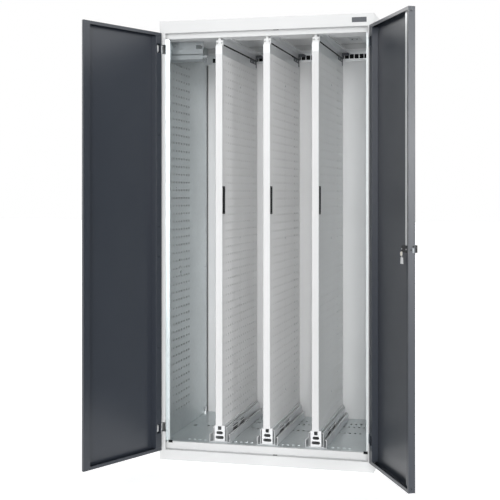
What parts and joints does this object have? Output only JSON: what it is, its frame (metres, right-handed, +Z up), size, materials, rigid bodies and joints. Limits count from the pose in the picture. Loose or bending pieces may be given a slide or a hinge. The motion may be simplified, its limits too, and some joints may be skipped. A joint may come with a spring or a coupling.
{
  "type": "upright storage cabinet",
  "caption": "Tall steel storage cabinet with hinged doors that stand open and vertical perforated tool panels that pull out on floor runners and top guide rails.",
  "frame": {"origin": "centre of the cabinet's underside, on the floor", "axes": "+Z up, -Y out of the front where the doors are, +X to the right for someone who faces the doors"},
  "size_m": [1.4233, 1.1516, 2.03],
  "materials": {
    "body_paint": "satin light grey powder coat",
    "door_paint": "satin anthracite powder coat",
    "bar_paint": "satin white powder coat",
    "panel_paint": "satin mid grey powder coat",
    "zinc": "zinc-plated sheet, dull",
    "bright_zinc": "bright zinc plating",
    "black_plastic": "matt black",
    "rubber": "matt black",
    "nylon": "natural white",
    "dark_plate": "dark grey",
    "key_plastic": "pale cover"
  },
  "bodies": {
    "carcass": {"side_panel_left": "body_paint", "side_panel_right": "body_paint", "door_stile_left": "zinc", "door_stile_right": "zinc", "side_liner_left": "zinc", "side_liner_right": "zinc", "back_panel": "body_paint", "roof": "body_paint", "base": "body_paint", "floor_sheet": "zinc", "ceiling_sheet": "zinc", "rear_top_rail": "bright_zinc", "hanger_plate": "zinc", "anchor_bolt": "bright_zinc", "name_plate": "dark_plate", "door_buffer_left": "rubber", "door_buffer_right": "rubber", "guide_block_1": "nylon", "guide_rail_1": "zinc", "runner_1_channel": "bright_zinc", "guide_block_2": "nylon", "guide_rail_2": "zinc", "runner_2_channel": "bright_zinc", "guide_block_3": "nylon", "guide_rail_3": "zinc", "runner_3_channel": "bright_zinc"},
    "door_left": {"door_left_shell": "door_paint", "door_left_hinge_channel": "door_paint", "door_left_hinge_lower": "bright_zinc", "door_left_hinge_upper": "bright_zinc"},
    "door_right": {"door_right_shell": "door_paint", "door_right_hinge_channel": "door_paint", "door_right_hinge_lower": "bright_zinc", "door_right_hinge_upper": "bright_zinc", "lock_case": "black_plastic", "spare_keys": "key_plastic"},
    "knob": {"turn_knob": "black_plastic"},
    "upper_rod": {"lock_rod_upper": "bright_zinc"},
    "lower_rod": {"lock_rod_lower": "door_paint"},
    "panel_1": {"panel_1_front_bar": "bar_paint", "panel_1_skins": "panel_paint", "panel_1_grip": "black_plastic", "panel_1_top_carrier": "bright_zinc", "panel_1_rear_bracket": "dark_plate", "runner_1_carriage": "bright_zinc"},
    "runner_1": {"runner_1_middle": "bright_zinc"},
    "panel_2": {"panel_2_front_bar": "bar_paint", "panel_2_skins": "panel_paint", "panel_2_grip": "black_plastic", "panel_2_top_carrier": "bright_zinc", "panel_2_rear_bracket": "dark_plate", "runner_2_carriage": "bright_zinc"},
    "runner_2": {"runner_2_middle": "bright_zinc"},
    "panel_3": {"panel_3_front_bar": "bar_paint", "panel_3_skins": "panel_paint", "panel_3_grip": "black_plastic", "panel_3_top_carrier": "bright_zinc", "panel_3_rear_bracket": "dark_plate", "runner_3_carriage": "bright_zinc"},
    "runner_3": {"runner_3_middle": "bright_zinc"}
  },
  "joints": [
    {"name": "door_left_hinge", "type": "hinge", "parent": "carcass", "child": "door_left", "pos_m": [-0.4935, -0.3445, 0], "axis": [0, 0, -1], "range_deg": [-114.6, 2.9]},
    {"name": "door_right_hinge", "type": "hinge", "parent": "carcass", "child": "door_right", "pos_m": [0.4935, -0.3445, 0], "axis": [0, 0, 1], "range_deg": [-117.5, 0]},
    {"name": "turn_knob", "type": "hinge", "parent": "door_right", "child": "knob", "pos_m": [0.69921, -0.73966, 1.01], "axis": [0.887, 0.4617, 0], "range_deg": [0, 90]},
    {"name": "upper_rod_slide", "type": "slide", "parent": "door_right", "child": "upper_rod", "axis": [0, 0, 1], "range_m": [0, 0.012]},
    {"name": "lower_rod_slide", "type": "slide", "parent": "door_right", "child": "lower_rod", "axis": [0, 0, -1], "range_m": [0, 0.012]},
    {"name": "panel_1_slide", "type": "slide", "parent": "carcass", "child": "panel_1", "axis": [0, -1, 0], "range_m": [0, 0.46]},
    {"name": "panel_2_slide", "type": "slide", "parent": "carcass", "child": "panel_2", "axis": [0, -1, 0], "range_m": [0, 0.46]},
    {"name": "panel_3_slide", "type": "slide", "parent": "carcass", "child": "panel_3", "axis": [0, -1, 0], "range_m": [0, 0.46]},
    {"name": "runner_1_slide", "type": "slide", "parent": "carcass", "child": "runner_1", "axis": [0, -1, 0], "range_m": [0, 0.23]},
    {"name": "runner_2_slide", "type": "slide", "parent": "carcass", "child": "runner_2", "axis": [0, -1, 0], "range_m": [0, 0.23]},
    {"name": "runner_3_slide", "type": "slide", "parent": "carcass", "child": "runner_3", "axis": [0, -1, 0], "range_m": [0, 0.23]}
  ],
  "couplings": [
    {"joint": "turn_knob", "follows": "upper_rod_slide", "rad_per_m": 130.9},
    {"joint": "lower_rod_slide", "follows": "upper_rod_slide", "ratio": 1},
    {"joint": "runner_1_slide", "follows": "panel_1_slide", "ratio": 0.5},
    {"joint": "runner_2_slide", "follows": "panel_2_slide", "ratio": 0.5},
    {"joint": "runner_3_slide", "follows": "panel_3_slide", "ratio": 0.5}
  ]
}
